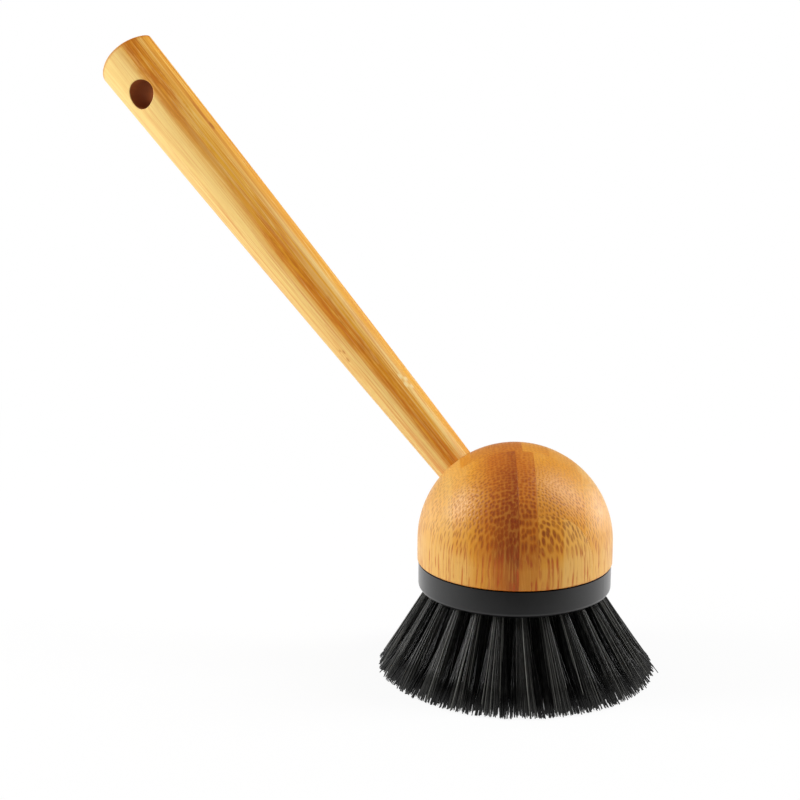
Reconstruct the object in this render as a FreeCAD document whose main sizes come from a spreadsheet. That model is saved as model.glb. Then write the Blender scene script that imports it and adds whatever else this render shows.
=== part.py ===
import FreeCAD, Part
import os

import Sketcher

# Dish brush: a bamboo handle glued into a bamboo dome, and a round plastic head of nylon tufts
# that plugs into a socket in the dome's base. The origin is on the head's axis, on the plane of
# the bristle tips, with +Z up and the handle leaning towards -X.

# Driving sizes: millimetres, degrees and counts.
sizes = {
    # dome
    "dome_radius": 28.0,
    "dome_skirt": 6.1,
    "dome_edge": 0.6,
    # handle, with lengths along its own axis from the dome's surface
    "handle_tilt": 45.0,
    "handle_length": 165.0,
    "neck_diameter": 11.6,
    "middle_distance": 72.0,
    "middle_width": 16.3,
    "middle_thickness": 13.9,
    "end_width": 20.8,
    "end_thickness": 15.0,
    "end_crown_radius": 17.0,
    "end_edge": 0.3,
    "tenon_depth": 14.0,
    "tenon_clearance": 0.05,
    "hang_hole_diameter": 8.8,
    "hang_hole_inset": 18.0,
    "hang_hole_edge": 0.3,
    # brush block, a little smaller than the dome, and the spigot on its top
    "rim_step": 0.3,
    "block_height": 7.6,
    "block_edge": 1.3,
    "seam_gap": 0.3,
    "spigot_wall": 2.2,
    "spigot_clearance": 0.15,
    "spigot_headroom": 0.4,
    # socket let into the dome's base
    "socket_margin": 10.0,
    "socket_height": 8.0,
    "socket_wall": 2.0,
    "socket_roof": 2.4,
    "socket_clearance": 0.05,
    # socket screws
    "screw_count": 3,
    "screw_margin": 6.0,
    "screw_diameter": 2.6,
    "screw_length": 10.0,
    "screw_point": 2.2,
    "screw_head_diameter": 5.0,
    "screw_head_height": 1.4,
    "screw_drive_width": 2.0,
    "screw_drive_depth": 0.9,
    "screw_clearance": 0.05,
    # bristle tufts, in evenly spaced rings round a centre tuft
    "bristle_length": 23.7,
    "tuft_margin": 4.9,
    "tip_flare": 13.5,
    "outer_count": 24,
    "middle_count": 16,
    "inner_count": 8,
    "tuft_gap": 1.97,
    "tuft_spread": 3.2,
    "tuft_collar": 1.5,
    "tuft_trim": 4.0,
    "tuft_clearance": 0.05,
    "hole_depth": 5.5,
    # staples
    "staple_bite": 0.35,
    "staple_thickness": 0.4,
    "staple_height": 1.8,
    "staple_seat": 0.9,
    "staple_clearance": 0.03,
}

doc = FreeCAD.newDocument("dish_brush")
sheet = doc.addObject("Spreadsheet::Sheet", "Sizes")
for row, (name, value) in enumerate(sizes.items(), start=1):
    sheet.set(f"A{row}", name)
    sheet.set(f"B{row}", str(value))
    sheet.setAlias(f"B{row}", name)
doc.recompute()

# Places on the head's axis and on the handle's axis, as formulas of the sizes.
dome_base = "(Sizes.bristle_length + Sizes.block_height + Sizes.seam_gap)"
dome_centre = f"({dome_base} + Sizes.dome_skirt)"
handle_end = "(Sizes.dome_radius + Sizes.handle_length)"
tenon_end = "(Sizes.dome_radius - Sizes.tenon_depth)"
tilt = "(Sizes.handle_tilt * 1 deg)"
block_radius = "(Sizes.dome_radius - Sizes.rim_step)"
socket_radius = "(Sizes.dome_radius - Sizes.socket_margin)"
socket_inside = f"({socket_radius} - Sizes.socket_wall)"
socket_ceiling = "(Sizes.socket_height - Sizes.socket_roof)"
spigot_radius = f"({socket_inside} - Sizes.spigot_clearance)"
spigot_bore = f"({spigot_radius} - Sizes.spigot_wall)"
spigot_top = f"(Sizes.block_height + Sizes.seam_gap + {socket_ceiling} - Sizes.spigot_headroom)"
screw_circle = f"({socket_inside} - Sizes.screw_margin)"
screw_radius = "(Sizes.screw_diameter / 2)"
screw_hole_radius = f"({screw_radius} + Sizes.screw_clearance)"
# Rings of tufts at the block's face, and the outer ring at the tips.
tuft_circles = {"outer": f"({block_radius} - Sizes.tuft_margin)"}
tuft_circles["middle"] = f"({tuft_circles['outer']} * 2 / 3)"
tuft_circles["inner"] = f"({tuft_circles['outer']} / 3)"
tip_circle = f"({tuft_circles['outer']} + Sizes.tip_flare)"
tuft_pitch = f"(2 * pi * {tuft_circles['outer']} / Sizes.outer_count)"
tuft_diameter = f"({tuft_pitch} - Sizes.tuft_gap)"
tuft_radius = f"({tuft_diameter} / 2)"
tuft_tip_radius = f"({tuft_radius} + Sizes.tuft_spread / 2)"
# Rings widen from root to tip by this factor, as if all came out of one point above.
fan = f"({tip_circle} / {tuft_circles['outer']})"

across = FreeCAD.Vector(1, 0, 0)
sideways = FreeCAD.Vector(0, 1, 0)
upright = FreeCAD.Vector(0, 0, 1)


def add(kind, name, **formulas):
    # A document object whose properties follow formulas; at_x, at_y and at_z are its position.
    thing = doc.addObject(kind, name)
    for prop, formula in formulas.items():
        path = f"Placement.Base.{prop[-1]}" if prop.startswith("at_") else prop
        thing.setExpression(path, formula)
    return thing


def turn(thing, axis, angle):
    # The axis is set first, at any angle, because only the angle is bound.
    thing.Placement = FreeCAD.Placement(thing.Placement.Base, FreeCAD.Rotation(axis, 1))
    thing.setExpression("Placement.Rotation.Angle", angle)


def boolean(kind, name, base, tool):
    thing = doc.addObject(f"Part::{kind}", name)
    thing.Base = base
    thing.Tool = tool
    return thing


def group(name, members):
    thing = doc.addObject("Part::Compound", name)
    thing.Links = members
    return thing


def ring(source, name, count):
    # Copies of one piece round the head's axis, the first at the piece's own place.
    copies = []
    for index in range(sizes[count]):
        copy = doc.addObject("App::Link", f"{name}_{index + 1:02d}")
        copy.LinkedObject = source
        copy.LinkTransform = True
        turn(copy, upright, f"{index} * 360 deg / Sizes.{count}")
        copies.append(copy)
    return copies


def turned_body(name, corners):
    # A body turned about Z from a closed outline of corners, each a (radius, height) of formulas.
    body = doc.addObject("PartDesign::Body", name)
    plane = next(item for item in body.Origin.OriginFeatures if item.Role == "XZ_Plane")
    sketch = body.newObject("Sketcher::SketchObject", f"{name}_outline")
    sketch.AttachmentSupport = [(plane, "")]
    sketch.MapMode = "FlatFace"
    last = len(corners) - 1
    starts = [FreeCAD.Vector(10 + index, index * index, 0) for index in range(len(corners))]
    for index, start in enumerate(starts):
        sketch.addGeometry(Part.LineSegment(start, starts[index - last]), False)
    for index in range(len(corners)):
        sketch.addConstraint(Sketcher.Constraint("Coincident", index, 2, (index + 1) % len(corners), 1))
    for index, (radius, height) in enumerate(corners):
        for kind, axis, formula in (("DistanceX", -2, radius), ("DistanceY", -1, height)):
            if formula == "0":
                sketch.addConstraint(Sketcher.Constraint("PointOnObject", index, 1, axis))
                continue
            number = sketch.addConstraint(Sketcher.Constraint(kind, -1, 1, index, 1, 5.0))
            sketch.renameConstraint(number, f"{kind}_{index}")
            sketch.setExpression(f"Constraints.{kind}_{index}", formula)
    turning = body.newObject("PartDesign::Revolution", f"{name}_turning")
    turning.Profile = sketch
    turning.ReferenceAxis = (sketch, ["V_Axis"])
    turning.Angle = 360
    doc.recompute()
    return body


def rims(shape, radius, height):
    # Numbers of the circular edges about Z with this radius and height.
    found = []
    for number, edge in enumerate(shape.Edges, start=1):
        if edge.Degenerated or not isinstance(edge.Curve, Part.Circle):
            continue
        if abs(edge.Curve.Radius - radius) < 1e-4 and abs(edge.Curve.Center.z - height) < 1e-4:
            found.append(number)
    return found


def shared_edges(shape, first, second):
    # Numbers of the edges that lie between a face of the first kind and one of the second.
    sides = []
    for kind in (first, second):
        sides.append([edge for face in shape.Faces if isinstance(face.Surface, kind) for edge in face.Edges])
    found = []
    for number, edge in enumerate(shape.Edges, start=1):
        if all(any(edge.isSame(other) for other in side) for side in sides):
            found.append(number)
    return found


# Handle, first along Z from the dome's centre: the sections of its stick, from round to oval.
neck_section = add(
    "Part::Ellipse", "neck_section",
    MajorRadius="Sizes.neck_diameter / 2",
    MinorRadius="Sizes.neck_diameter / 2",
    at_z="Sizes.dome_radius",
)
middle_section = add(
    "Part::Ellipse", "middle_section",
    MajorRadius="Sizes.middle_width / 2",
    MinorRadius="Sizes.middle_thickness / 2",
    at_z="Sizes.dome_radius + Sizes.middle_distance",
)
end_section = add(
    "Part::Ellipse", "end_section",
    MajorRadius="Sizes.end_width / 2",
    MinorRadius="Sizes.end_thickness / 2",
    at_z=handle_end,
)
stick = doc.addObject("Part::Loft", "stick")
stick.Sections = [neck_section, middle_section, end_section]
stick.Solid = True
tenon = add(
    "Part::Cylinder", "tenon",
    Radius="Sizes.neck_diameter / 2",
    Height="Sizes.tenon_depth",
    at_z=tenon_end,
)
# The far end is crowned by a ball on the handle's axis.
crown_ball = add(
    "Part::Sphere", "crown_ball",
    Radius="Sizes.end_crown_radius",
    at_z=f"{handle_end} - Sizes.end_crown_radius",
)
crown_tube = add(
    "Part::Cylinder", "crown_tube",
    Radius="Sizes.end_crown_radius",
    Height=f"{handle_end} - Sizes.end_crown_radius",
)
crowned = boolean(
    "Common", "crowned_stick",
    boolean("Fuse", "stick_and_tenon", stick, tenon),
    boolean("Fuse", "crown", crown_tube, crown_ball),
)
hang_hole = add(
    "Part::Cylinder", "hang_hole",
    Radius="Sizes.hang_hole_diameter / 2",
    Height="2 * Sizes.end_thickness",
    at_y="Sizes.end_thickness",
    at_z=f"{handle_end} - Sizes.hang_hole_inset",
)
turn(hang_hole, across, "90 deg")
drilled = boolean("Cut", "drilled_stick", crowned, hang_hole)
doc.recompute()

# The crown's rim and the hole's rims are eased, and the handle is leaned over.
eased = doc.addObject("Part::Fillet", "eased_stick")
eased.Base = drilled
crown_rim = shared_edges(drilled.Shape, Part.Sphere, Part.BSplineSurface)
hole_rims = [
    number for number in shared_edges(drilled.Shape, Part.Cylinder, Part.BSplineSurface)
    if drilled.Shape.Edges[number - 1].BoundBox.Center.z > sizes["dome_radius"] + sizes["middle_distance"]
]
eased.Edges = [(number, sizes["end_edge"], sizes["end_edge"]) for number in crown_rim]
eased.Edges += [(number, sizes["hang_hole_edge"], sizes["hang_hole_edge"]) for number in hole_rims]
handle = add("App::Link", "handle", at_z=dome_centre)
handle.LinkedObject = eased
turn(handle, -sideways, "Sizes.handle_tilt")

# Socket screws, each with its head flush with the socket's ceiling and its point upwards.
screw_seat = {"at_x": screw_circle, "at_z": f"{dome_base} + {socket_ceiling}"}
screw_head = add(
    "Part::Cone", "screw_head",
    Radius1="Sizes.screw_head_diameter / 2",
    Radius2=screw_radius,
    Height="Sizes.screw_head_height",
)
screw_shank = add(
    "Part::Cylinder", "screw_shank",
    Radius=screw_radius,
    Height="Sizes.screw_length - Sizes.screw_point",
)
screw_point = add(
    "Part::Cone", "screw_point",
    Radius1=screw_radius,
    Radius2="0",
    Height="Sizes.screw_point",
    at_z="Sizes.screw_length - Sizes.screw_point",
)
screw_drive = add(
    "Part::Prism", "screw_drive",
    Circumradius="Sizes.screw_drive_width / 2",
    Height="Sizes.screw_drive_depth",
)
screw_solid = doc.addObject("Part::MultiFuse", "screw_solid")
screw_solid.Shapes = [screw_head, screw_shank, screw_point]
screw = boolean("Cut", "screw", screw_solid, screw_drive)
screw_sink = add(
    "Part::Cone", "screw_sink",
    Radius1="Sizes.screw_head_diameter / 2 + Sizes.screw_clearance",
    Radius2=screw_hole_radius,
    Height="Sizes.screw_head_height",
)
screw_drill = add(
    "Part::Cylinder", "screw_drill",
    Radius=screw_hole_radius,
    Height="Sizes.screw_length + Sizes.screw_clearance",
)
screw_hole = boolean("Fuse", "screw_hole", screw_sink, screw_drill)
for piece in (screw, screw_hole):
    for path, formula in screw_seat.items():
        piece.setExpression(f"Placement.Base.{path[-1]}", formula)
socket_screws = group("socket_screws", ring(screw, "screw", "screw_count"))
screw_holes = group("screw_holes", ring(screw_hole, "screw_hole", "screw_count"))

# Socket: a cup, open downwards, let into the dome's base.
socket_cup = turned_body("socket_cup", [
    (socket_inside, "0"),
    (socket_radius, "0"),
    (socket_radius, "Sizes.socket_height"),
    ("0", "Sizes.socket_height"),
    ("0", socket_ceiling),
    (socket_inside, socket_ceiling),
])
socket_cup.setExpression("Placement.Base.z", dome_base)
socket = boolean("Cut", "socket", socket_cup, screw_holes)

# Dome: half a ball on a straight skirt, cut for the socket, the handle's tenon and the screws.
dome_ball = add("Part::Sphere", "dome_ball", Radius="Sizes.dome_radius", at_z=dome_centre)
dome_ball.Angle1 = 0
dome_skirt = add(
    "Part::Cylinder", "dome_skirt",
    Radius="Sizes.dome_radius",
    Height="Sizes.dome_skirt",
    at_z=dome_base,
)
socket_recess = add(
    "Part::Cylinder", "socket_recess",
    Radius=f"{socket_radius} + Sizes.socket_clearance",
    Height="Sizes.socket_height + Sizes.socket_clearance",
    at_z=dome_base,
)
tenon_bore = add(
    "Part::Cylinder", "tenon_bore",
    Radius="Sizes.neck_diameter / 2 + Sizes.tenon_clearance",
    Height="2 * Sizes.tenon_depth",
    at_x=f"-({tenon_end} - Sizes.tenon_clearance) * sin({tilt})",
    at_z=f"{dome_centre} + ({tenon_end} - Sizes.tenon_clearance) * cos({tilt})",
)
turn(tenon_bore, -sideways, "Sizes.handle_tilt")
dome_cut = boolean(
    "Cut", "dome_cut",
    boolean("Fuse", "dome_blank", dome_ball, dome_skirt),
    group("dome_hollows", [socket_recess, tenon_bore, screw_holes]),
)
doc.recompute()
dome = doc.addObject("Part::Fillet", "dome")
dome.Base = dome_cut
dome.Edges = [
    (number, sizes["dome_edge"], sizes["dome_edge"])
    for number in rims(dome_cut.Shape, sizes["dome_radius"], dome_skirt.Placement.Base.z)
]

# Tufts, their holes and their staples: one of each per ring, made along Z from the hole's floor,
# then leaned outwards and carried round the ring.
floor_slab = add(
    "Part::Box", "floor_slab",
    Length=f"4 * {tip_circle}",
    Width=f"4 * {tip_circle}",
    Height="4 * Sizes.tuft_trim",
    at_x=f"-2 * {tip_circle}",
    at_y=f"-2 * {tip_circle}",
    at_z="-4 * Sizes.tuft_trim",
)


def staple_box(name, play):
    # A flat anchor across the hole, grown all round by the play.
    width = f"({tuft_diameter} + 2 * (Sizes.tuft_clearance + Sizes.staple_bite + {play}))"
    thickness = f"(Sizes.staple_thickness + 2 * {play})"
    return add(
        "Part::Box", name,
        Length=thickness,
        Width=width,
        Height=f"Sizes.staple_height + 2 * {play}",
        at_x=f"-{thickness} / 2",
        at_y=f"-{width} / 2",
        at_z=f"Sizes.staple_seat - {play}",
    )


def tuft_set(ring_name, circle):
    lean = f"atan({circle} * ({fan} - 1) / Sizes.bristle_length)"
    reach = f"(Sizes.bristle_length / cos({lean}))"
    spread = f"(({tuft_tip_radius} - {tuft_radius}) / ({reach} - Sizes.tuft_collar))"
    brush = f"({reach} - Sizes.tuft_collar + Sizes.tuft_trim)"
    root = add(
        "Part::Cylinder", f"{ring_name}_root",
        Radius=tuft_radius,
        Height="Sizes.hole_depth + Sizes.tuft_collar",
    )
    bristles = add(
        "Part::Cone", f"{ring_name}_bristles",
        Radius1=tuft_radius,
        Radius2=f"{tuft_radius} + {spread} * {brush}",
        Height=brush,
        at_z="Sizes.hole_depth + Sizes.tuft_collar",
    )
    bundle = boolean("Fuse", f"{ring_name}_bundle", root, bristles)
    fold = staple_box(f"{ring_name}_fold", "Sizes.staple_clearance")
    folded = boolean("Cut", f"{ring_name}_folded", bundle, fold)
    drill = add(
        "Part::Cylinder", f"{ring_name}_drill",
        Radius=f"{tuft_radius} + Sizes.tuft_clearance",
        Height="Sizes.hole_depth + Sizes.tuft_collar",
    )
    bite = staple_box(f"{ring_name}_bite", "Sizes.staple_clearance")
    hole = boolean("Fuse", f"{ring_name}_hole", drill, bite)
    staple = group(f"{ring_name}_staple", [staple_box(f"{ring_name}_anchor", "0")])
    for piece in (folded, hole, staple):
        piece.setExpression("Placement.Base.x", f"{circle} - Sizes.hole_depth * sin({lean})")
        piece.setExpression("Placement.Base.z", f"Sizes.bristle_length + Sizes.hole_depth * cos({lean})")
        turn(piece, sideways, f"180 deg - {lean}")
    tuft = boolean("Cut", f"{ring_name}_tuft", folded, floor_slab)
    return tuft, hole, staple


tuft_centre, centre_hole, centre_staple = tuft_set("centre", "0")
tuft_centre.Label = "tuft_centre"
tufts = [tuft_centre]
tuft_holes = [centre_hole]
tuft_staples = [centre_staple]
for ring_name in ("inner", "middle", "outer"):
    tuft, hole, staple = tuft_set(ring_name, tuft_circles[ring_name])
    tufts += ring(tuft, f"tuft_{ring_name}", f"{ring_name}_count")
    tuft_holes += ring(hole, f"hole_{ring_name}", f"{ring_name}_count")
    tuft_staples += ring(staple, f"staple_{ring_name}", f"{ring_name}_count")
staples = group("staples", tuft_staples)

# Brush block: a disc with a hollow spigot on top, drilled for the tufts.
block_blank = turned_body("block_blank", [
    ("0", "0"),
    (block_radius, "0"),
    (block_radius, "Sizes.block_height"),
    (spigot_radius, "Sizes.block_height"),
    (spigot_radius, spigot_top),
    (spigot_bore, spigot_top),
    (spigot_bore, "Sizes.block_height"),
    ("0", "Sizes.block_height"),
])
block_turning = block_blank.Tip
block_rounding = block_blank.newObject("PartDesign::Fillet", "block_rounding")
block_rounding.Base = (
    block_turning,
    [f"Edge{number}" for number in rims(block_turning.Shape, sizes["dome_radius"] - sizes["rim_step"], 0)],
)
block_rounding.setExpression("Radius", "Sizes.block_edge")
block_blank.setExpression("Placement.Base.z", "Sizes.bristle_length")
brush_block = boolean("Cut", "brush_block", block_blank, group("tuft_holes", tuft_holes))

doc.recompute()

for item in doc.Objects:
    if "Invalid" in item.State or "Error" in item.State:
        raise RuntimeError(f"{item.Label} failed: {item.State}")

nodes = [handle, dome, socket, socket_screws, brush_block, staples] + tufts
for node in nodes:
    if node.Shape.isNull() or not node.Shape.isValid():
        raise RuntimeError(f"{node.Label} has no valid shape")

os.makedirs("parts", exist_ok=True)
for node in nodes:
    node.Shape.exportStep(f"parts/{node.Label}.step")
    print(node.Label, len(node.Shape.Solids), "solids", round(node.Shape.Volume, 1), "mm3")
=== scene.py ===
import math

import bpy
import numpy as np
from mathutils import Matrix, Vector


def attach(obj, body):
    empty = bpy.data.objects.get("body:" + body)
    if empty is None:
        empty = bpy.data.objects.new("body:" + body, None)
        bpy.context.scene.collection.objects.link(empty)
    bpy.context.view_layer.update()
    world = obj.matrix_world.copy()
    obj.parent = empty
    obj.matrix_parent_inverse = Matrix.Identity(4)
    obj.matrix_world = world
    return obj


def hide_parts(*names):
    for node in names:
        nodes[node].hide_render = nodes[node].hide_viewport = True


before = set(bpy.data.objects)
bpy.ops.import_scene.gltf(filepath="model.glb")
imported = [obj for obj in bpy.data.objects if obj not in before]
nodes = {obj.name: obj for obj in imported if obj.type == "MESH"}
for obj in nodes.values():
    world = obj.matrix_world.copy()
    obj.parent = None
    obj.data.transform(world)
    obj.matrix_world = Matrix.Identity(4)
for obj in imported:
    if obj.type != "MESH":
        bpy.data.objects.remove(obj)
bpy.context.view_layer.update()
print("frame loaded:", len(nodes), "nodes")

upwards = (0, 0, 1)
pureBlack = (0, 0, 0, 1)
pureWhite = (1, 1, 1, 1)


def shade(red, green, blue):
    # an sRGB colour, 0 to 255, as the linear colour that sockets take
    parts = [value / 255 for value in (red, green, blue)]
    return tuple(p / 12.92 if p <= 0.04045 else ((p + 0.055) / 1.055) ** 2.4 for p in parts) + (1.0,)


class Wire:
    # an output socket in a node tree; arithmetic on wires adds Math nodes
    def __init__(self, tree, socket=None):
        self.tree = tree
        self.socket = socket

    def add(self, kind, settings=None, inputs=None, output=0):
        # any node: settings first, then the values or links of its sockets
        node = self.tree.nodes.new("ShaderNode" + kind)
        for name, value in (settings or {}).items():
            if name == "stops":
                self.setStops(node.color_ramp.elements, value)
            else:
                setattr(node, name, value)
        for name, value in (inputs or {}).items():
            if isinstance(value, Wire):
                self.tree.links.new(value.socket, node.inputs[name])
            else:
                node.inputs[name].default_value = value
        return Wire(self.tree, node.outputs[output]) if len(node.outputs) else None

    def setStops(self, elements, stops):
        while len(elements) < len(stops):
            elements.new(0.5)
        for element, (place, colour) in zip(elements, stops):
            element.position = place
            element.color = colour

    def maths(self, operation, *values):
        return self.add("Math", {"operation": operation}, dict(enumerate(values)))

    def __add__(self, other):
        return self.maths("ADD", self, other)

    def __radd__(self, other):
        return self.maths("ADD", other, self)

    def __sub__(self, other):
        return self.maths("SUBTRACT", self, other)

    def __rsub__(self, other):
        return self.maths("SUBTRACT", other, self)

    def __mul__(self, other):
        return self.maths("MULTIPLY", self, other)

    def __rmul__(self, other):
        return self.maths("MULTIPLY", other, self)

    def __truediv__(self, other):
        return self.maths("DIVIDE", self, other)

    def __abs__(self):
        return self.maths("ABSOLUTE", self)

    def root(self):
        return self.maths("SQRT", self)

    def fade(self, low, high):
        # 0 at low, 1 at high, with soft ends
        settings = {"interpolation_type": "SMOOTHSTEP"}
        return self.add("MapRange", settings, {"Value": self, "From Min": low, "From Max": high})

    def along(self, axis, origin=(0, 0, 0)):
        # length of this vector along an axis, from an origin
        moved = self.add("VectorMath", {"operation": "SUBTRACT"}, {0: self, 1: origin})
        return self.add("VectorMath", {"operation": "DOT_PRODUCT"}, {0: moved, 1: axis}, "Value")

    def vector(self, x, y, z):
        return self.add("CombineXYZ", None, {"X": x, "Y": y, "Z": z})

    def noise(self, scale, detail, roughness=0.5):
        inputs = {"Vector": self, "Scale": scale, "Detail": detail, "Roughness": roughness}
        return self.add("TexNoise", {"noise_dimensions": "3D"}, inputs)

    def dots(self, randomness):
        # distance to the nearest of a scatter of points, about one for each unit square
        settings = {"voronoi_dimensions": "2D", "feature": "F1"}
        inputs = {"Vector": self, "Scale": 1.0, "Randomness": randomness}
        return self.add("TexVoronoi", settings, inputs, "Distance")

    def blend(self, first, second):
        # two colours mixed by this value; 6, 7 and 2 are a Mix node's colour sockets
        return self.add("Mix", {"data_type": "RGBA"}, {0: self, 6: first, 7: second}, 2)


def newMaterial(name):
    material = bpy.data.materials.new(name)
    material.use_nodes = True
    material.node_tree.nodes.clear()
    return material, Wire(material.node_tree)


def finishSurface(wire, sockets):
    shader = wire.add("BsdfPrincipled", None, sockets)
    wire.add("OutputMaterial", None, {"Surface": shader})


def millimetres(wire):
    place = wire.add("TexCoord", None, None, "Object")
    return wire.add("VectorMath", {"operation": "SCALE"}, {0: place, "Scale": 1000.0})


def facing(wire, axis):
    # 1 where the surface faces along an axis, 0 where it lies along it
    return wire.add("TexCoord", None, None, "Normal").along(axis)


def dress(names, material):
    for name in names:
        slots = nodes[name].data.materials
        slots.clear()
        slots.append(material)


# camera and studio; lengths in metres, and a span is where a fade starts and ends

studio = {
    "camera": (0.1857, -0.3999, 0.1786),
    "target": (-0.0288, -0.0161, 0.0787),
    "lens": 72.0,
    "ambient": 0.3,
    "sky": 0.25,
    "skySpan": (0.2, 1.0),
    "mirrorLevel": 0.22,
    "frontShade": 0.17,  # off the mirrored backdrop behind the camera
    "frontSpan": (-0.35, 0.5),
    "floorHalf": 3.0,
    "floorDrop": 0.0002,  # keeps the floor clear of the bristle tips
    "floorPaper": shade(238, 238, 238),
    "floorGlow": 0.9,
    "floorSpan": (0.12, 0.4),
    "bareSpan": (0.028, 0.038),  # no glow among the bristles
    "floorShade": 0.96,  # off the mirrored floor near the camera
    "shadeSpan": (-0.01, 0.14),
    "lampAim": (-0.03, 0.0, 0.08),
    "softboxes": {
        # place to the right, towards the camera and up; width and height; watts
        "softbox_left": ((-0.86, -0.02, 0.56), (0.34, 0.5), 6.0),
        "softbox_right": ((0.70, -0.11, 0.71), (0.28, 0.72), 6.0),
        "rim_left": ((-0.72, -0.42, 0.14), (0.5, 0.24), 0.7),
        "rim_right": ((0.72, -0.42, 0.14), (0.5, 0.24), 1.8),
    },
}

scene = bpy.context.scene
scene.view_settings.view_transform = "Standard"


def addToScene(name, data):
    thing = bpy.data.objects.new(name, data)
    scene.collection.objects.link(thing)
    return thing


def aim(thing, place, target):
    thing.location = place
    thing.rotation_euler = (target - place).to_track_quat("-Z", "Y").to_euler()


target = Vector(studio["target"])
cameraPlace = Vector(studio["camera"])
camera = addToScene("camera", bpy.data.cameras.new("camera"))
camera.data.lens = studio["lens"]
aim(camera, cameraPlace, target)
scene.camera = camera

towards = (cameraPlace - target) * Vector((1, 1, 0))
towards.normalize()
rightwards = Vector((-towards.y, towards.x, 0))


def rayKinds(wire):
    # 1 for camera rays, for these and the ones that gloss or glass sends on, and for the latter alone
    kinds = ("Is Camera Ray", "Is Glossy Ray", "Is Transmission Ray")
    straight, glossy, through = [wire.add("LightPath", None, None, kind) for kind in kinds]
    seen = wire.maths("MAXIMUM", straight, wire.maths("MAXIMUM", glossy, through))
    return straight, seen, seen * (1 - straight)


world = bpy.data.worlds.new("studio")
world.use_nodes = True
world.node_tree.nodes.clear()
air = Wire(world.node_tree)
straight, seen, mirrored = rayKinds(air)
compass = air.add("TexCoord", None, None, "Generated")
front = compass.along(tuple(towards)).fade(*studio["frontSpan"])
overhead = compass.along(upwards).fade(*studio["skySpan"])
level = straight + (1 - seen) * (studio["ambient"] + overhead * studio["sky"])
level = level + mirrored * (studio["mirrorLevel"] - front * studio["frontShade"])
unlit = air.add("Background", None, {"Color": pureBlack, "Strength": 0.0})
lit = air.add("Background", None, {"Color": pureWhite, "Strength": 1.0})
air.add("OutputWorld", None, {"Surface": air.add("MixShader", None, {0: level, 1: unlit, 2: lit})})
scene.world = world

for name, ((across, near, up), size, watts) in studio["softboxes"].items():
    lamp = bpy.data.lights.new(name, "AREA")
    lamp.shape = "RECTANGLE"
    lamp.size, lamp.size_y = size
    lamp.energy = watts
    place = rightwards * across + towards * near + Vector((0, 0, up))
    aim(addToScene(name, lamp), place, Vector(studio["lampAim"]))

floorMesh = bpy.data.meshes.new("floor")
half = studio["floorHalf"]
corners = [(-half, -half, 0), (half, -half, 0), (half, half, 0), (-half, half, 0)]
floorMesh.from_pydata(corners, [], [(0, 1, 2, 3)])
floor = addToScene("floor", floorMesh)
floor.location.z = -studio["floorDrop"]
paper, wire = newMaterial("paper_floor")
place = wire.add("TexCoord", None, None, "Object")
distance = wire.add("VectorMath", {"operation": "LENGTH"}, {0: place}, "Value")
reach = distance.fade(*studio["floorSpan"])
bare = distance.fade(*studio["bareSpan"])
straight, seen, mirrored = rayKinds(wire)
dim = mirrored * place.along(tuple(towards)).fade(*studio["shadeSpan"]) * studio["floorShade"]
share = seen * (studio["floorGlow"] + reach * (1 - studio["floorGlow"])) * (1 - dim) * bare
bright = wire.add("BsdfDiffuse", None, {"Color": studio["floorPaper"]})
unlit = wire.add("BsdfDiffuse", None, {"Color": pureBlack})
matte = wire.add("MixShader", None, {0: dim, 1: bright, 2: unlit})
glow = wire.add("Emission", None, {"Color": pureWhite, "Strength": 1.0})
wire.add("OutputMaterial", None, {"Surface": wire.add("MixShader", None, {0: share, 1: matte, 2: glow})})
floorMesh.materials.append(paper)
print("studio ready")


# bamboo of the dome: upright fibres in glued strips, cut across by the ball; lengths in millimetres

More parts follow.
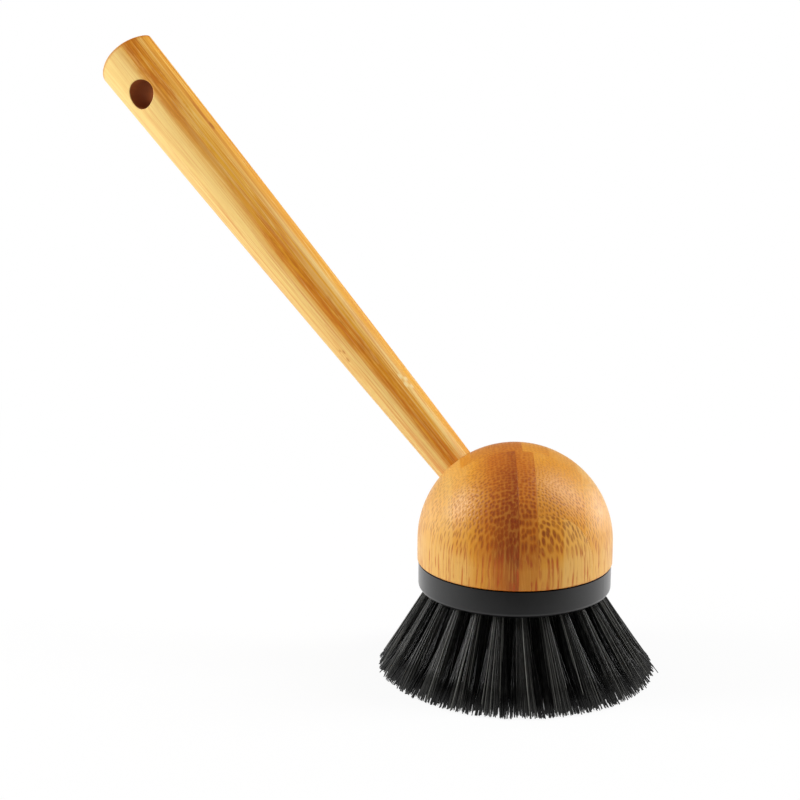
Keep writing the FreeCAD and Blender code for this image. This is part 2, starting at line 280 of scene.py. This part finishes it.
dome = {
    "centre": (0.0, 0.0, 37.7),
    "right": (0.873, 0.488, 0.0),
    "deep": (-0.488, 0.873, 0.0),
    "halfWidth": 28.5,
    "seam": 0.04,  # half a glue line
    # glued rows from the front to the back: far edge, its slant, and the strips in it;
    # a strip has its right edge, darkness at the left and right edge, and bundle spacing
    "rows": [
        (-25.1, 0.27, [
            (-22.0, 0.0, 0.0, 1.05), (-14.7, 0.02, 0.14, 1.05), (-8.2, 0.24, 0.66, 1.1),
            (-0.8, 0.72, 1.02, 1.1), (4.3, 0.7, 0.62, 1.15), (11.4, 0.46, 0.3, 1.35),
            (18.0, 0.12, 0.0, 1.35), (28.5, 0.0, 0.0, 1.25),
        ]),
        (-5.3, 0.0, [
            (-18.6, 0.0, 0.04, 1.05), (-14.7, 0.16, 0.22, 1.05), (-8.2, 0.26, 0.7, 1.1),
            (-0.8, 0.74, 1.04, 1.1), (4.3, 0.78, 0.72, 1.15), (11.4, 0.46, 0.4, 0.95),
            (18.0, 0.38, 0.28, 0.95), (28.5, 0.18, 0.04, 0.95),
        ]),
        (14.7, 0.0, [
            (-16.0, 0.04, 0.14, 0.9), (-7.0, 0.46, 0.7, 1.0), (1.5, 0.74, 0.8, 1.1),
            (9.0, 0.5, 0.54, 1.2), (17.0, 0.4, 0.28, 1.0), (28.5, 0.14, 0.02, 1.1),
        ]),
        (40.0, 0.0, [
            (-17.0, 0.02, 0.12, 1.1), (-9.5, 0.3, 0.42, 1.2), (-1.5, 0.56, 0.7, 1.1),
            (6.0, 0.4, 0.5, 1.0), (14.0, 0.3, 0.2, 1.1), (28.5, 0.1, 0.0, 1.0),
        ]),
    ],
    "tones": [
        (0.0, shade(233, 180, 94)),
        (0.35, shade(222, 148, 42)),
        (0.7, shade(192, 104, 14)),
        (1.0, shade(152, 66, 8)),
    ],
    "bundle": shade(132, 48, 3),
    "streak": shade(192, 84, 10),
    "sinew": shade(238, 178, 74),
    "lighten": 0.17,  # off the darkness of every strip
    "cloudiness": 0.25,
    "wander": 1.6,
    "cutSpan": (-0.02, 0.36),  # how far the surface leans up where dashes turn to dots
    "boldSpan": (1.15, 1.4),  # bundle spacing from which the dots are bold
    "dotSpan": (0.14, 0.46),
    "mortarSpan": (0.38, 0.62),
    "rimSpan": (-6.1, -5.3),
    "rimShade": 0.55,
    "roughness": 0.3,
    "gloss": 0.36,
    "bump": 0.4,
    "bumpDepth": 0.00015,  # metres
}


def stripRamp(wire, place, strips, most):
    # a value that runs across each strip and jumps at the seams;
    # a strip has its right edge, its first value and its last
    half, seam = dome["halfWidth"], dome["seam"]
    stops = []
    left = -half
    for right, first, last in strips:
        for edge, value in ((left + seam, first), (right - seam, last)):
            stops.append(((edge + half) / (2 * half), (value / most,) * 3 + (1.0,)))
        left = right
    return wire.add("ValToRGB", {"stops": stops}, {"Fac": (place + half) / (2 * half)}) * most


def domeBamboo():
    material, wire = newMaterial("dome_bamboo")
    place = millimetres(wire)
    across = place.along(dome["right"], dome["centre"])
    deep = place.along(dome["deep"], dome["centre"])
    high = place.along(upwards, dome["centre"])
    upright = facing(wire, upwards)
    cut = upright.fade(*dome["cutSpan"])

    # fibres waver a little as they rise
    waver = wire.vector(across * 0.12, deep * 0.12, high * 0.09).noise(1.0, 1.0) - 0.5
    sideways = wire.vector(across * 0.1 + 40.0, deep * 0.1, high * 0.11).noise(1.0, 1.0) - 0.5
    u = across + waver * dome["wander"]
    v = deep + sideways * dome["wander"]

    # strips side by side, in rows
    darkness, step, rest = 0.0, 0.0, 1.0
    for edge, slant, strips in dome["rows"]:
        beyond = (deep - across * slant).fade(edge - dome["seam"], edge + dome["seam"])
        row = rest * (1 - beyond)
        shades = [(right, first, last) for right, first, last, spacing in strips]
        spacings = [(right, spacing, spacing) for right, first, last, spacing in strips]
        darkness = darkness + row * stripRamp(wire, across, shades, 1.0)
        step = step + row * stripRamp(wire, across, spacings, 2.0)
        rest = rest * beyond
    cloud = wire.vector(across, deep, high * 0.35).noise(0.2, 3.0, 0.55) - 0.5
    belt = upright.fade(-0.05, 0.18) * 0.25 - upright.fade(0.45, 0.7) * 0.1 - upright.fade(0.8, 1.0) * 0.12
    darkness = darkness - dome["lighten"] + belt + cloud * dome["cloudiness"]
    colour = wire.add("ValToRGB", {"stops": dome["tones"]}, {"Fac": darkness})

    # vascular bundles: dots where the cut crosses the fibres, dashes where it runs along them
    bold = step.fade(*dome["boldSpan"])
    spots = wire.vector(u / step, v / (step * (0.64 - bold * 0.14)), 0.0).dots(0.6)
    cell = 1 - (spots - bold * 0.06).fade(*dome["dotSpan"])
    mortar = spots.fade(*dome["mortarSpan"])
    patch = wire.vector(across, deep, high).noise(0.22, 2.0).fade(0.3, 0.6)
    dashes = wire.vector(across * 0.9, deep * 0.9, high * 0.22).noise(1.0, 2.0).fade(0.38, 0.56)
    broken = dashes + cut * (1 - dashes)
    steady = 1 - upright.fade(0.55, 0.95) * 0.5  # marks are fainter on the top
    strength = 0.42 + darkness.fade(0.1, 0.7) * 0.2 + bold * cut * 0.26 + (1 - cut) * 0.42
    marks = cell * strength * (0.45 + patch * 0.55) * broken * steady
    between = mortar * (0.06 + cut * 0.12 + bold * cut * 0.14) * steady
    colour = between.blend(colour, dome["sinew"])
    colour = marks.blend(colour, cut.blend(dome["streak"], dome["bundle"]))

    # a darker rim where the dome meets the ring
    rim = 1 - high.fade(*dome["rimSpan"])
    colour = (rim * dome["rimShade"]).blend(colour, dome["streak"])

    # fine pale lines along the fibres
    lines = wire.vector(u * 2.0, v * 2.0, high * 0.07).noise(1.0, 2.0, 0.5)
    colour = (lines.fade(0.46, 0.7) * (0.26 - cut * 0.16)).blend(colour, dome["sinew"])

    height = lines * 0.4 - cell * 0.6
    bump = {"Strength": dome["bump"], "Distance": dome["bumpDepth"], "Height": height}
    finishSurface(wire, {
        "Base Color": colour,
        "Roughness": dome["roughness"] + lines * 0.1 + marks * 0.12,
        "Specular IOR Level": dome["gloss"],
        "Normal": wire.add("Bump", None, bump),
    })
    return material


dress(["dome"], domeBamboo())
print("dome dressed")


# bamboo of the handle: fibres along the stick, a dark streak between paler strips; lengths in millimetres

lean = math.sqrt(0.5)
stick = {
    "start": (0.0, 0.0, 37.7),
    "along": (-lean, 0.0, lean),
    "across": (lean, 0.0, lean),
    "aside": (0.0, 1.0, 0.0),
    # size at the start, growth for each millimetre, and the size that the fibres are laid out for
    "width": (10.04, 0.0557, 16.0),
    "thickness": (11.02, 0.0206, 13.9),
    "end": 193.0,
    "crownRadius": 17.0,
    "crownSpan": (12.0, 8.0),  # before the end
    "hole": (-123.744, 0.0, 161.444),  # a point on its axis
    "holeRadius": 4.4,
    "streak": 3.8,
    "streakShift": 1.6,
    "streakWidth": 3.5,
    "streakWander": 3.0,
    "fadeSpan": (100.0, 140.0),  # where the streak fades along the stick, and then partly comes back
    "returnSpan": (150.0, 172.0),
    "yellowSpan": (-4.2, 0.2),  # from cream to yellow, across the stick
    "highlightLine": -3.0,
    "highlightLineSpan": (90.0, 130.0),  # where the painted highlight line fades along the stick
    "riseSpan": (95.0, 175.0),  # from the slim half to the broad end
    "cream": shade(243, 202, 118),
    "yellow": shade(236, 171, 54),
    "caramel": shade(220, 138, 24),
    "dash": shade(196, 108, 18),
    "line": shade(216, 120, 38),
    "sheen": shade(250, 218, 140),
    "endGrain": shade(214, 146, 58),
    "endDots": shade(150, 78, 24),
    # painted shade inside the drilled hole
    "holeShade": shade(146, 66, 18),
    # small blemishes: place along, across and aside, length, width, colour
    "flecks": [
        ((71.0, -2.3, -6.3), 0.7, 0.32, shade(190, 108, 38)),
        ((73.4, -1.6, -6.4), 0.6, 0.28, shade(190, 108, 38)),
        ((74.6, -2.6, -6.4), 0.4, 0.28, shade(198, 118, 44)),
        ((52.8, 6.6, -2.0), 0.7, 0.35, shade(253, 232, 172)),
        ((54.2, 5.9, -3.0), 0.8, 0.3, shade(253, 232, 172)),
        ((55.6, 6.6, -2.1), 0.7, 0.35, shade(253, 232, 172)),
        ((57.2, 6.0, -3.0), 0.8, 0.3, shade(253, 232, 172)),
        ((153.0, 9.3, -1.8), 1.2, 0.3, shade(164, 78, 14)),
        ((158.0, 9.3, -2.2), 4.5, 0.22, shade(190, 104, 22)),
    ],
    "roughness": 0.4,
    "gloss": 0.2,
    "bump": 0.2,
    "bumpDepth": 0.00012,  # metres
}


def stickBamboo():
    material, wire = newMaterial("stick_bamboo")
    place = millimetres(wire)
    along = place.along(stick["along"], stick["start"])
    across = place.along(stick["across"], stick["start"])
    aside = place.along(stick["aside"], stick["start"])
    rise = along.fade(*stick["riseSpan"])

    def spreadOut(distance, size):
        # fibres follow the stick as it widens
        start, growth, full = size
        return distance * full / (along * growth + start)

    lateral = spreadOut(across, stick["width"])
    depth = spreadOut(aside, stick["thickness"])

    def grain(fine, lengthwise, *noise):
        # noise that is drawn out along the stick
        return wire.vector(lateral * fine, depth * fine, lengthwise).noise(1.0, *noise)

    # a caramel strip between a cream one below and a yellow one above; the cream is partly a paler strip
    # and partly painted highlight on the lower side
    wander = grain(0.05, along * 0.022, 2.0) - 0.5
    offset = lateral - stick["streak"] - rise * stick["streakShift"] + wander * stick["streakWander"]
    pale = along.fade(*stick["fadeSpan"]) * (1 - along.fade(*stick["returnSpan"]) * 0.85)
    streak = (1 - abs(offset).fade(0.3, stick["streakWidth"])) * (1 - pale * 0.8)
    above = offset.fade(*stick["yellowSpan"])
    colour = above.blend((rise * 0.5).blend(stick["cream"], stick["sheen"]), stick["yellow"])

    # broad bands and fine fibres, all along the stick
    bands = grain(0.4, along * 0.012, 2.0, 0.5)
    fibres = grain(0.9, along * 0.016, 1.5, 0.6)
    caramel = (streak * 0.9 + fibres * 0.8 + bands * 0.5 - 0.75).fade(0.0, 0.75)
    colour = (caramel * 0.95).blend(colour, stick["caramel"])
    colour = (fibres.fade(0.5, 0.68) * (0.6 - streak * 0.4)).blend(colour, stick["sheen"])

    # short dashes, mostly in the streak
    dashes = grain(1.3, along * 0.14, 3.0, 0.65)
    colour = (dashes.fade(0.48, 0.62) * (streak * 0.65 + 0.06)).blend(colour, stick["dash"])
    colour = ((1 - dashes.fade(0.36, 0.46)) * streak * 0.6).blend(colour, stick["yellow"])

    # a painted highlight: a pale line near the upper edge on the front, strongest in the slim half
    band = (1 - abs(depth - stick["highlightLine"]).fade(0.2, 1.3)) * lateral.fade(4.6, 6.0)
    band = band * (1 - along.fade(*stick["highlightLineSpan"]) * 0.8)
    colour = (band * (0.4 + fibres * 0.6)).blend(colour, stick["sheen"])

    # threads and hairlines, fewer towards the broad end
    threads = grain(1.8, along * 0.022 + 9.0, 1.0, 0.6)
    hairs = grain(1.3, along * 0.016 + 23.0, 1.0, 0.6)
    colour = (threads.fade(0.48, 0.66) * (0.5 - rise * 0.35)).blend(colour, stick["line"])
    colour = (hairs.fade(0.5, 0.64) * rise * above * 0.65).blend(colour, stick["dash"])
    hairline = 1 - abs(hairs - 0.5).fade(0.005, 0.04)
    colour = (hairline * (0.45 - rise * 0.3)).blend(colour, stick["line"])
    glint = 1 - abs(hairs - 0.42).fade(0.005, 0.04)
    colour = (glint * (0.5 - streak * 0.3)).blend(colour, stick["sheen"])

    # blemishes, each a soft oval
    for (a, b, c), length, width, fleck in stick["flecks"]:
        x, y, z = (along - a) / length, (across - b) / width, (aside - c) / (width * 1.5)
        far = x * x + y * y + z * z
        colour = ((1 - far.fade(0.3, 2.5)) * 0.6).blend(colour, fleck)

    # painted shade: a darker edge where the crown meets the sides, for the shading of the rounding; and
    # end grain on the crown
    first, last = stick["crownSpan"]
    nearEnd = along.fade(stick["end"] - first, stick["end"] - last)
    fromBall = along - (stick["end"] - stick["crownRadius"])
    ball = (fromBall * fromBall + across * across + aside * aside).root()
    edge = ball.fade(stick["crownRadius"] - 0.9, stick["crownRadius"] - 0.1) * nearEnd
    colour = (edge * 0.6).blend(colour, stick["dash"])
    crown = facing(wire, stick["along"]).fade(0.35, 0.6) * nearEnd
    pores = wire.vector(across / 0.9, aside / 0.7, 0.0).dots(0.8)
    endGrain = ((1 - pores.fade(0.16, 0.42)) * 0.75).blend(stick["endGrain"], stick["endDots"])
    colour = crown.blend(colour, endGrain)

    # the drilled hole is painted dark brown inside, as painted shade in the recess
    holeAlong = place.along(stick["along"], stick["hole"])
    holeAcross = place.along(stick["across"], stick["hole"])
    fromHole = (holeAlong * holeAlong + holeAcross * holeAcross).root()
    inside = 1 - fromHole.fade(stick["holeRadius"] + 0.02, stick["holeRadius"] + 0.14)
    colour = (inside * 0.95).blend(colour, stick["holeShade"])

    height = fibres * 0.5 + threads * 0.3 - hairline * 0.2
    bump = {"Strength": stick["bump"], "Distance": stick["bumpDepth"], "Height": height}
    finishSurface(wire, {
        "Base Color": colour,
        "Roughness": stick["roughness"] + fibres * 0.14 + inside * 0.4,
        "Specular IOR Level": stick["gloss"],
        "Normal": wire.add("Bump", None, bump),
    })
    return material


dress(["handle"], stickBamboo())
print("handle dressed")


# moulded black plastic of the brush block and the socket

plastic = {
    "black": shade(9, 9, 10),
    "grey": shade(20, 20, 21),
    "roughness": 0.32,
    "topRoughness": 0.85,  # moulded faces under the dome are dull
    "gloss": 0.36,
    "coat": 0.5,
    "coatRoughness": 0.2,
    "bump": 0.12,
    "bumpDepth": 0.00006,  # metres
}


def blackPlastic():
    material, wire = newMaterial("black_plastic")
    place = millimetres(wire)
    flow = place.noise(0.12, 3.0, 0.6)
    grain = place.noise(5.0, 2.0, 0.6)
    specks = 1 - place.noise(2.3, 1.0, 0.4).fade(0.2, 0.27)
    colour = (flow.fade(0.3, 0.7) * 0.6 + specks * 0.3).blend(plastic["black"], plastic["grey"])
    top = facing(wire, upwards).fade(0.5, 0.9)
    rough = plastic["roughness"] - 0.05 + flow * 0.08 + grain * 0.08
    rough = rough + top * (plastic["topRoughness"] - plastic["roughness"])
    bump = {"Strength": plastic["bump"], "Distance": plastic["bumpDepth"], "Height": grain}
    finishSurface(wire, {
        "Base Color": colour,
        "Roughness": rough,
        "Specular IOR Level": plastic["gloss"],
        "Coat Weight": plastic["coat"] - top * plastic["coat"],
        "Coat Roughness": plastic["coatRoughness"],
        "Normal": wire.add("Bump", None, bump),
    })
    return material


dress(["brush_block", "socket"], blackPlastic())


# drawn and turned steel of the staples and screws

metal = {"bright": shade(188, 190, 194), "dull": shade(132, 134, 138), "roughness": 0.25}


def plainSteel():
    material, wire = newMaterial("plain_steel")
    place = millimetres(wire)
    x, y, z = place.along((1, 0, 0)), place.along((0, 1, 0)), place.along(upwards)
    marks = wire.vector(x * 3.0, y * 3.0, z * 0.6).noise(1.0, 3.0)
    finishSurface(wire, {
        "Base Color": marks.fade(0.3, 0.7).blend(metal["bright"], metal["dull"]),
        "Metallic": 1.0,
        "Roughness": metal["roughness"] + marks * 0.25,
    })
    return material


dress(["socket_screws", "staples"], plainSteel())
print("block, socket and metal dressed")


# bristle tufts: drawn nylon filaments, folded into the block and trimmed level; lengths in metres

bristles = {
    "seed": 11,
    "core": 112,  # filaments of a tuft, then loose ones between it and its neighbours
    "gap": 64,
    "radius": 0.00014,
    "radiusSpread": 0.06,
    "sides": 5,
    "heights": (0.0, 0.08, 0.36, 0.68, 1.0),  # shares of the way from root to tip
    "rootRadius": 0.00155,
    "rootNarrow": 0.88,
    "rootDepth": 0.003,
    "face": 0.0237,  # height of the block's underside
    "rings": {"centre": (1, 0.0), "inner": (8, 0.0076), "middle": (16, 0.0152), "outer": (24, 0.0228)},
    "flare": 36.3 / 22.8,
    "tipAlong": 0.0030,
    "tipAcross": 0.0037,
    "gapAlong": 0.0050,
    "scatter": 0.00014,
    "strayShare": 0.025,
    "strayScatter": 4,  # times the usual scatter
    "uneven": 0.0001,
    "shortShare": 0.05,
    "shortBy": 0.001,
    "bow": 0.00012,
    "sway": (0.0010, -0.0002, 0.0),
    "dark": shade(5, 5, 5),
    "pale": shade(112, 112, 107),
    "worn": shade(72, 72, 71),
    "wornSpan": (0.1, 1.1),  # height of the worn tips, millimetres
    # the loose filaments are painted nearly black, as painted shade in the gaps
    "gapShadeTone": 0.02,
    "coreTone": 0.06,
    "toneSpread": 0.22,
    # share of filaments painted brighter as highlights, and how much brighter
    "glintShare": 0.14,
    "glintTone": 0.72,
    "roughness": 0.24,
    "gloss": 0.42,
}


def nylon():
    material, wire = newMaterial("black_nylon")
    tone = wire.add("Attribute", {"attribute_name": "tone"}, None, "Fac")
    place = millimetres(wire)
    mottle = place.noise(0.6, 2.0, 0.6)
    colour = (tone * 0.9 + (mottle - 0.5) * 0.2).blend(bristles["dark"], bristles["pale"])
    tips = 1 - place.along(upwards).fade(*bristles["wornSpan"])
    finishSurface(wire, {
        "Base Color": (tips * 0.3).blend(colour, bristles["worn"]),
        "Roughness": bristles["roughness"] + tone * 0.12 + tips * 0.2,
        "Specular IOR Level": bristles["gloss"],
    })
    return material


def discPoints(count, rng):
    # an even, slightly jittered spread over the unit disc
    index = np.arange(count) + 0.5
    radius = np.sqrt(index / count) + rng.normal(0, 0.025, count)
    angle = index * math.pi * (3 - math.sqrt(5)) + rng.normal(0, 0.12, count)
    return np.clip(radius, 0, 1)[:, None] * np.stack([np.cos(angle), np.sin(angle)], 1)


def squared(disc):
    # the unit disc opened out towards a square, so that trimmed tufts meet side to side
    most = np.abs(disc).max(1, keepdims=True)
    length = np.linalg.norm(disc, axis=1, keepdims=True)
    return disc * (0.3 + 0.7 * length / np.maximum(most, 1e-6))


def filamentPaths(circle, outward, rng):
    # centre lines of a tuft's filaments, and which of them are loose
    b = bristles
    tangent = np.array([-outward[1], outward[0], 0.0])
    root = outward * circle + np.array([0.0, 0.0, b["face"]])
    tip = outward * circle * b["flare"]
    axis = (tip - root) / np.linalg.norm(tip - root)
    sideways = np.cross(axis, tangent)
    sign = 1.0 if sideways @ outward >= 0 else -1.0

    # the core of the tuft, then loose filaments that close the gap to its neighbours
    disc = discPoints(b["core"], rng)
    coreTips = squared(disc) * np.array([b["tipAlong"], b["tipAcross"] * sign])
    flank = np.where(np.arange(b["gap"]) % 2, 1.0, -1.0)
    reach = rng.random(b["gap"])
    outer = 0.95 - 1.5 * rng.random(b["gap"]) ** 1.4
    gapRoots = np.stack([flank * (0.8 + 0.2 * reach), -0.6 * rng.random(b["gap"]) * sign], 1)
    gapAlong = 0.9 * b["tipAlong"] * (1 - reach) + b["gapAlong"] * reach
    gapTips = np.stack([flank * gapAlong, outer * b["tipAcross"]], 1)
    roots = np.concatenate([disc * np.array([b["rootNarrow"], 1.0]), gapRoots])
    spread = np.concatenate([coreTips, gapTips])
    count = len(roots)
    loose = np.arange(count) >= b["core"]

    # each filament's own scatter, trim and bow
    rootOffset = (roots[:, :1] * tangent + roots[:, 1:] * sideways) * b["rootRadius"]
    spread = spread + rng.normal(0, b["scatter"], (count, 2))
    stray = rng.random(count) < b["strayShare"]
    spread[stray] += rng.normal(0, b["scatter"] * b["strayScatter"], (stray.sum(), 2))
    cut = np.abs(rng.normal(0, b["uneven"], count))
    cut = cut + (rng.random(count) < b["shortShare"]) * rng.random(count) * b["shortBy"]
    bow = rng.normal(0, b["bow"], (count, 2))

    rings = [root - axis * b["rootDepth"] + rootOffset]
    for share in b["heights"]:
        middle = root + (tip - root) * share
        fan = share ** 1.2
        splay = np.where(loose, share ** 3, fan)[:, None]  # loose filaments lean out near their tips
        offset = rootOffset * (1 - fan) + (spread[:, :1] * tangent + np.array(b["sway"])) * fan
        offset = offset + spread[:, 1:] * outward * splay
        arch = (bow[:, :1] * tangent + bow[:, 1:] * outward) * math.sin(math.pi * share)
        point = middle + offset + arch
        if share == 1.0:
            back = point - rings[-1]
            point = point - back * ((cut + b["radius"]) / np.abs(back[:, 2]))[:, None]
        rings.append(point)
    return np.stack(rings, 1), loose


def turnsAround(sides):
    return np.arange(sides) * 2 * math.pi / sides


def tuftMesh(name, circle, angle, rng):
    b = bristles
    sides = b["sides"]
    outward = np.array([math.cos(angle), math.sin(angle), 0.0])
    path, loose = filamentPaths(circle, outward, rng)
    count, steps = path.shape[:2]

    # a thin skin round each path
    heading = np.gradient(path, axis=1)
    heading /= np.linalg.norm(heading, axis=2, keepdims=True)
    first = np.cross(heading, outward)
    first /= np.linalg.norm(first, axis=2, keepdims=True)
    second = np.cross(heading, first)
    turns = turnsAround(sides)
    thick = b["radius"] * (1 + rng.normal(0, b["radiusSpread"], count))[:, None, None, None]
    skin = first[:, :, None] * np.cos(turns)[:, None] + second[:, :, None] * np.sin(turns)[:, None]
    points = (path[:, :, None] + skin * thick).reshape(-1, 3)

    # quads along each filament, and a cap at each end
    number = np.arange(count * steps * sides).reshape(count, steps, sides)
    after = np.roll(number, -1, axis=2)
    quads = np.stack([number[:, :-1], after[:, :-1], after[:, 1:], number[:, 1:]], -1).reshape(-1, 4)
    caps = np.concatenate([number[:, 0, ::-1], number[:, -1]])
    mesh = bpy.data.meshes.new(name)
    mesh.from_pydata(points.tolist(), [], quads.tolist() + caps.tolist())

    # a few filaments are painted brighter, as painted highlights along the tufts
    coreTones = b["coreTone"] + b["toneSpread"] * rng.random(count)
    coreTones = coreTones + b["glintTone"] * (rng.random(count) < b["glintShare"])
    # the loose filaments in the gaps are painted nearly black, as painted shade between the tufts
    tones = np.repeat(np.where(loose, b["gapShadeTone"], coreTones), steps * sides).astype(np.float32)
    mesh.attributes.new("tone", "FLOAT", "POINT").data.foreach_set("value", tones)
    addStrips(mesh, count, steps, sides)
    return mesh


def addStrips(mesh, count, steps, sides):
    # a map with one narrow strip for each filament, and its end caps above and below
    columns = 25
    rows = math.ceil(count / columns)
    filled = 0.9
    capCentres = (0.015, 0.97)
    capWide, capTall = 0.45, 0.02
    index = np.arange(count)
    left = (index % columns) / columns
    low = (index // columns) / rows
    wide, tall = filled / columns, filled / rows
    rise = np.linspace(0.04, 0.94, steps)
    quadU = np.array([0.0, 1.0, 1.0, 0.0])
    quads = np.zeros((count, steps - 1, sides, 4, 2))
    quads[..., 0] = left[:, None, None, None] + quadU * wide
    for step in range(steps - 1):
        heights = np.array([rise[step], rise[step], rise[step + 1], rise[step + 1]])
        quads[:, step, :, :, 1] = low[:, None, None] + heights * tall
    turns = turnsAround(sides)
    ends = []
    for centre in capCentres:
        cap = np.zeros((count, sides, 2))
        cap[..., 0] = left[:, None] + (0.5 + capWide * np.cos(turns)) * wide
        cap[..., 1] = low[:, None] + (centre + capTall * np.sin(turns)) * tall
        ends.append(cap.reshape(-1, 2))
    places = np.concatenate([quads.reshape(-1, 2)] + ends)
    layer = mesh.uv_layers.new(name="OFBake")
    layer.data.foreach_set("uv", places.astype(np.float32).ravel())


nylonBlack = nylon()
rng = np.random.RandomState(bristles["seed"])
for ringName, (count, circle) in bristles["rings"].items():
    for index in range(count):
        node = "tuft_centre" if ringName == "centre" else f"tuft_{ringName}_{index + 1:02d}"
        mesh = tuftMesh(node.replace("tuft", "filaments"), circle, 2 * math.pi * index / count, rng)
        mesh.materials.append(nylonBlack)
        mesh.polygons.foreach_set("use_smooth", [face.loop_total == 4 for face in mesh.polygons])
        piece = addToScene(mesh.name, mesh)
        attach(piece, "brush_head")
        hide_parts(node)
print("tufts made:", sum(count for count, circle in bristles["rings"].values()))
